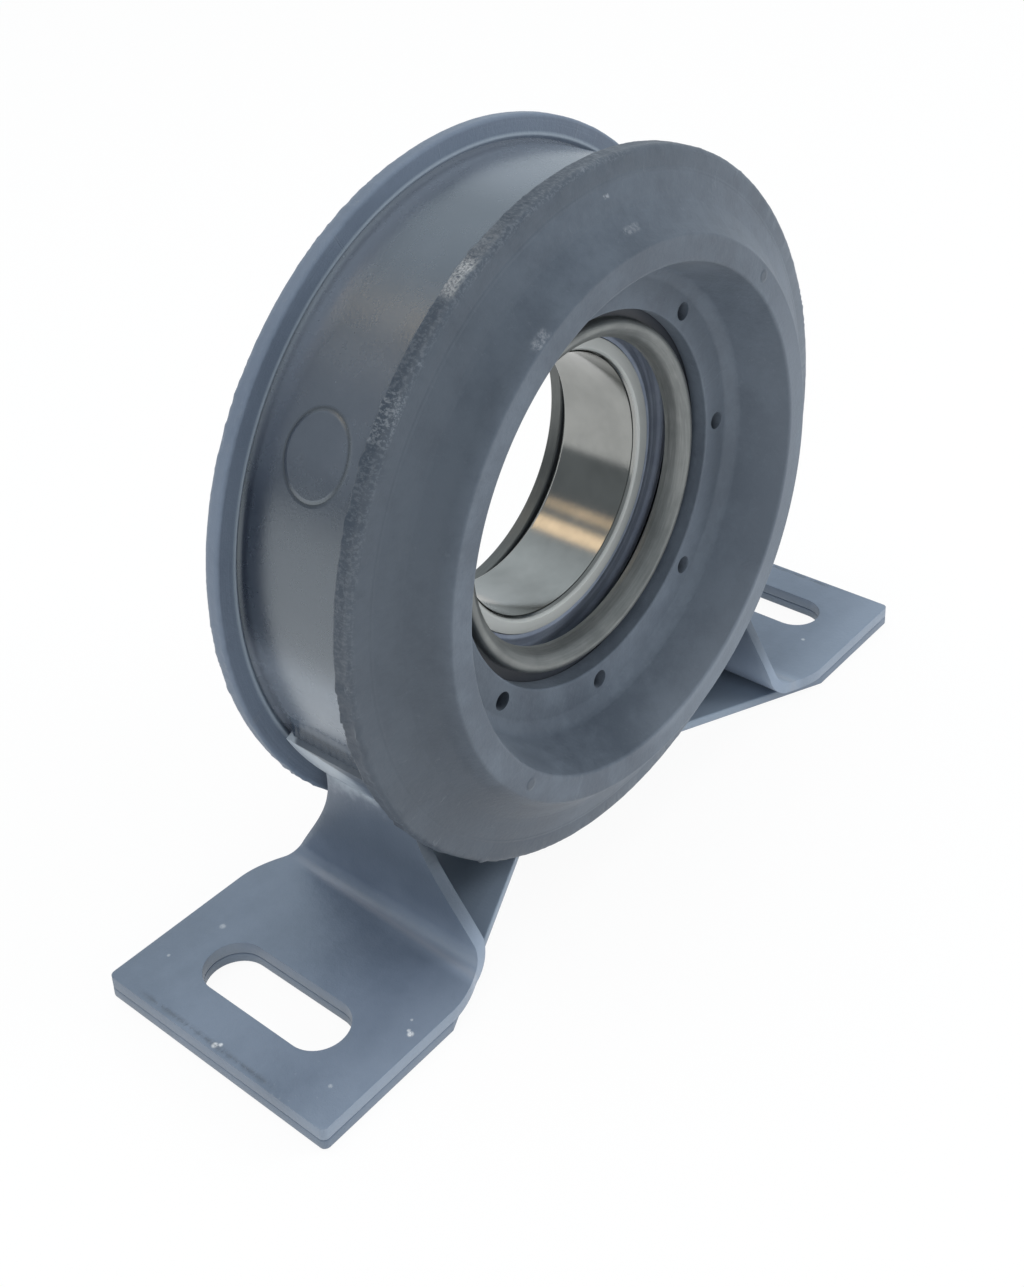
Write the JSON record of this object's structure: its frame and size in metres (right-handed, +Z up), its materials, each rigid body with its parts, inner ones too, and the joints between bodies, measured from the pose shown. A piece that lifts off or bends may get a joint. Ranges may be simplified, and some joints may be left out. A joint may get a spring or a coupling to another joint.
{
  "type": "driveshaft centre bearing",
  "caption": "Ball bearing in a rubber cushion inside a flanged steel band, standing on a welded bracket with slotted feet.",
  "frame": {"origin": "ground plane under the middle of the band, midway between the feet", "axes": "+Z up, shaft axis along Y with the recessed front at -Y, feet spread along X"},
  "size_m": [0.1412, 0.042, 0.1076],
  "materials": {
    "painted": "black satin paint",
    "rubber": "matt moulded rubber",
    "bright": "ground bearing steel",
    "ring_steel": "bearing steel",
    "ball_steel": "polished",
    "cage_steel": "pressed sheet",
    "plated": "dull plated steel",
    "seal_rubber": "navy seal rubber",
    "weld": "painted weld bead"
  },
  "bodies": {
    "housing": {"outer_band": "painted", "rubber_cushion": "rubber", "bearing_sleeve": "plated", "rear_shield": "plated", "bearing_outer_ring": "ring_steel", "front_seal": "seal_rubber", "rear_seal": "seal_rubber", "tie_plate": "painted", "leg_left": "painted", "leg_right": "painted", "weld_left": "weld", "weld_right": "weld"},
    "inner_ring": {"bearing_inner_ring": "bright"},
    "ball_set": {"ball_01": "ball_steel", "ball_02": "ball_steel", "ball_03": "ball_steel", "ball_04": "ball_steel", "ball_05": "ball_steel", "ball_06": "ball_steel", "ball_07": "ball_steel", "ball_08": "ball_steel", "ball_09": "ball_steel", "ball_10": "ball_steel", "ball_11": "ball_steel", "ball_12": "ball_steel", "cage_front": "cage_steel", "cage_back": "cage_steel"}
  },
  "joints": [
    {"name": "inner_ring_spin", "type": "hinge", "parent": "housing", "child": "inner_ring", "pos_m": [0, 0.0054, 0.0548], "axis": [0, 1, 0], "continuous": true},
    {"name": "ball_set_spin", "type": "hinge", "parent": "housing", "child": "ball_set", "pos_m": [0, 0.0054, 0.0548], "axis": [0, 1, 0], "continuous": true}
  ],
  "couplings": [
    {"joint": "ball_set_spin", "follows": "inner_ring_spin", "ratio": 0.4278}
  ]
}
